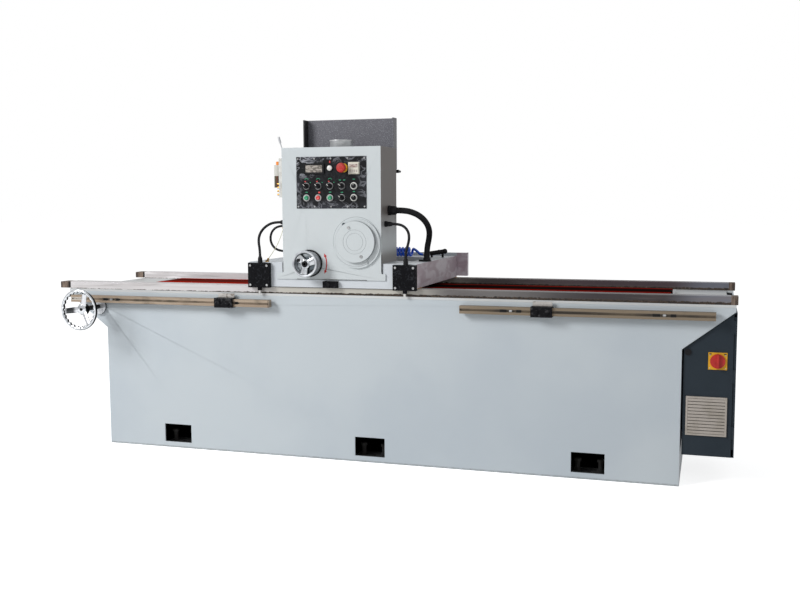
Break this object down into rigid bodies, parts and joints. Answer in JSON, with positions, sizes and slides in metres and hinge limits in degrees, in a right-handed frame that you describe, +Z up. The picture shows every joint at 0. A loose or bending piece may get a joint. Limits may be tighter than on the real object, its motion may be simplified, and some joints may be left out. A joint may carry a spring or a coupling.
{
  "type": "planer knife grinder",
  "caption": "Long-bed grinder for planer knives: a travelling wheel head on two rails over a tilting magnetic chuck.",
  "frame": {"origin": "on the floor at the middle of the anchor bolt pattern", "axes": "+X along the bed to the operator's right, +Y to the back, +Z up"},
  "size_m": [2.924, 0.846, 1.438],
  "materials": {
    "bed_paint": "satin light blue-grey paint",
    "slate_paint": "textured dark slate paint",
    "hammer_paint": "dark grey hammertone paint",
    "rail_steel": "ground steel with oil film",
    "bar_aluminium": "champagne anodised",
    "chrome": "polished chrome",
    "bright_steel": "machined bright steel",
    "cast": "machined cast iron",
    "chuck_red": "red-orange enamel over ground pole plates",
    "black_plastic": "moulded black",
    "panel_black": "gloss black film",
    "beige_plastic": "moulded beige",
    "yellow_plastic": "moulded yellow",
    "red_plastic": "moulded red",
    "green_plastic": "moulded green",
    "white_plastic": "moulded off-white",
    "oil_bottle": "clear plastic bottle with dark oil",
    "cable_rubber": "black sheath",
    "blue_tube": "blue polyurethane",
    "clear_tube": "clear nylon",
    "motor_paint": "motor enamel",
    "brass": "machined brass",
    "abrasive": "white abrasive grain"
  },
  "bodies": {
    "bed": {"front_panel": "bed_paint", "rear_panels": "bed_paint", "bed_frame": "bed_paint", "guide_rails": "rail_steel", "stop_bars": "bar_aluminium", "tilt_bearings": "cast", "cabinet_box": "slate_paint", "control_gear": "white_plastic"},
    "door": {"cabinet_door": "slate_paint", "vent_grille": "beige_plastic", "switch_plate": "yellow_plastic"},
    "main_switch": {"switch_knob": "red_plastic"},
    "door_lock": {"door_lock": "black_plastic"},
    "chuck": {"chuck_face": "chuck_red", "chuck_body": "chuck_red", "trunnion_gear": "bright_steel"},
    "tilt_wheel": {"tilt_handwheel": "chrome"},
    "left_stop": {"left_stop": "black_plastic"},
    "right_stop": {"right_stop": "black_plastic"},
    "carriage": {"carriage_frame": "bed_paint", "rear_cover": "bed_paint", "slide_shoes": "brass", "travel_motor": "motor_paint", "head_casing": "bed_paint", "column": "cast", "round_cover": "bed_paint", "control_panel": "panel_black", "panel_instruments": "bright_steel", "sensor_boxes": "black_plastic", "cable_glands": "black_plastic", "lubricator_pump": "bright_steel", "oil_reservoir": "oil_bottle", "left_sensor_cable": "cable_rubber", "right_sensor_cable": "cable_rubber", "left_conduit": "cable_rubber", "right_hose": "cable_rubber", "oil_tube": "clear_tube", "coil_hose": "blue_tube", "air_gun": "black_plastic"},
    "pinion": {"travel_pinion": "bright_steel"},
    "pump_lever": {"pump_lever": "black_plastic"},
    "feed_wheel": {"feed_handwheel": "chrome"},
    "feed_screw": {"feed_screw": "bright_steel"},
    "estop_button": {"estop_button": "red_plastic"},
    "green_button_left": {"green_button_left": "green_plastic"},
    "red_button": {"red_button": "red_plastic"},
    "green_button_right": {"green_button_right": "green_plastic"},
    "head": {"head_slide": "cast", "guard_plate": "hammer_paint", "spindle_motor": "motor_paint"},
    "spindle": {"spindle": "bright_steel", "grinding_wheel": "abrasive"},
    "clamp_lever": {"clamp_lever": "black_plastic"},
    "selector_1": {"selector_1": "black_plastic"},
    "selector_2": {"selector_2": "black_plastic"},
    "selector_3": {"selector_3": "black_plastic"},
    "selector_4": {"selector_4": "black_plastic"},
    "selector_5": {"selector_5": "black_plastic"},
    "dial_1": {"dial_1": "black_plastic"},
    "dial_2": {"dial_2": "black_plastic"}
  },
  "joints": [
    {"name": "carriage_travel", "type": "slide", "parent": "bed", "child": "carriage", "axis": [1, 0, 0], "range_m": [-0.685, 1.015]},
    {"name": "pinion_turn", "type": "hinge", "parent": "carriage", "child": "pinion", "pos_m": [-0.26, 0.235, 0.8], "axis": [0, 0, 1], "range_deg": [-1575, 2330]},
    {"name": "chuck_tilt", "type": "hinge", "parent": "bed", "child": "chuck", "pos_m": [0, 0.085, 0.662], "axis": [1, 0, 0], "range_deg": [0, 45]},
    {"name": "tilt_wheel_turn", "type": "hinge", "parent": "bed", "child": "tilt_wheel", "pos_m": [-1.28, 0, 0.622], "axis": [0, 1, 0], "range_deg": [0, 1620]},
    {"name": "left_stop_slide", "type": "slide", "parent": "bed", "child": "left_stop", "axis": [1, 0, 0], "range_m": [-0.55, 0.16]},
    {"name": "right_stop_slide", "type": "slide", "parent": "bed", "child": "right_stop", "axis": [1, 0, 0], "range_m": [-0.28, 0.59]},
    {"name": "door_hinge", "type": "hinge", "parent": "bed", "child": "door", "pos_m": [1.435, -0.333, 0.4], "axis": [0, 0, 1], "range_deg": [0, 110]},
    {"name": "main_switch_turn", "type": "hinge", "parent": "door", "child": "main_switch", "pos_m": [1.374, -0.33, 0.4875], "axis": [0, 1, 0], "range_deg": [0, 90]},
    {"name": "door_lock_turn", "type": "hinge", "parent": "door", "child": "door_lock", "pos_m": [1.267, -0.33, 0.518], "axis": [0, -1, 0], "range_deg": [0, 90]},
    {"name": "head_feed", "type": "slide", "parent": "carriage", "child": "head", "axis": [0, 0, 1], "range_m": [-0.012, 0.06]},
    {"name": "feed_screw_turn", "type": "hinge", "parent": "carriage", "child": "feed_screw", "pos_m": [-0.15, -0.24, 1], "axis": [0, 0, 1], "range_deg": [-870, 4330]},
    {"name": "feed_wheel_turn", "type": "hinge", "parent": "carriage", "child": "feed_wheel", "pos_m": [-0.255, -0.35, 0.831], "axis": [0, 1, 0], "range_deg": [-870, 4330]},
    {"name": "clamp_turn", "type": "hinge", "parent": "head", "child": "clamp_lever", "pos_m": [-0.165, -0.122, 1.213], "axis": [1, 0, 0], "range_deg": [-60, 60]},
    {"name": "spindle_turn", "type": "hinge", "parent": "head", "child": "spindle", "pos_m": [-0.165, 0.04, 0.85], "axis": [0, 0, 1], "continuous": true},
    {"name": "pump_lever_turn", "type": "hinge", "parent": "carriage", "child": "pump_lever", "pos_m": [-0.404, -0.246, 1.278], "axis": [0, 1, 0], "range_deg": [-25, 20]},
    {"name": "estop_press", "type": "slide", "parent": "carriage", "child": "estop_button", "axis": [0, 1, 0], "range_m": [0, 0.005], "stiffness_N_per_m": 900},
    {"name": "green_left_press", "type": "slide", "parent": "carriage", "child": "green_button_left", "axis": [0, 1, 0], "range_m": [0, 0.004], "stiffness_N_per_m": 500},
    {"name": "red_press", "type": "slide", "parent": "carriage", "child": "red_button", "axis": [0, 1, 0], "range_m": [0, 0.004], "stiffness_N_per_m": 500},
    {"name": "green_right_press", "type": "slide", "parent": "carriage", "child": "green_button_right", "axis": [0, 1, 0], "range_m": [0, 0.004], "stiffness_N_per_m": 500},
    {"name": "selector_1_turn", "type": "hinge", "parent": "carriage", "child": "selector_1", "pos_m": [-0.264, -0.36, 1.15], "axis": [0, 1, 0], "range_deg": [0, 90]},
    {"name": "selector_2_turn", "type": "hinge", "parent": "carriage", "child": "selector_2", "pos_m": [-0.212, -0.36, 1.15], "axis": [0, 1, 0], "range_deg": [0, 90]},
    {"name": "selector_3_turn", "type": "hinge", "parent": "carriage", "child": "selector_3", "pos_m": [-0.16, -0.36, 1.15], "axis": [0, 1, 0], "range_deg": [0, 90]},
    {"name": "selector_4_turn", "type": "hinge", "parent": "carriage", "child": "selector_4", "pos_m": [-0.108, -0.36, 1.15], "axis": [0, 1, 0], "range_deg": [0, 90]},
    {"name": "selector_5_turn", "type": "hinge", "parent": "carriage", "child": "selector_5", "pos_m": [-0.108, -0.36, 1.102], "axis": [0, 1, 0], "range_deg": [0, 90]},
    {"name": "dial_1_turn", "type": "hinge", "parent": "carriage", "child": "dial_1", "pos_m": [-0.056, -0.36, 1.15], "axis": [0, 1, 0], "range_deg": [-135, 135]},
    {"name": "dial_2_turn", "type": "hinge", "parent": "carriage", "child": "dial_2", "pos_m": [-0.056, -0.36, 1.102], "axis": [0, 1, 0], "range_deg": [-135, 135]}
  ],
  "couplings": [
    {"joint": "pinion_turn", "follows": "carriage_travel", "rad_per_m": 40},
    {"joint": "tilt_wheel_turn", "follows": "chuck_tilt", "ratio": 36},
    {"joint": "feed_screw_turn", "follows": "head_feed", "rad_per_m": 1256.6},
    {"joint": "feed_wheel_turn", "follows": "head_feed", "rad_per_m": 1256.6}
  ]
}
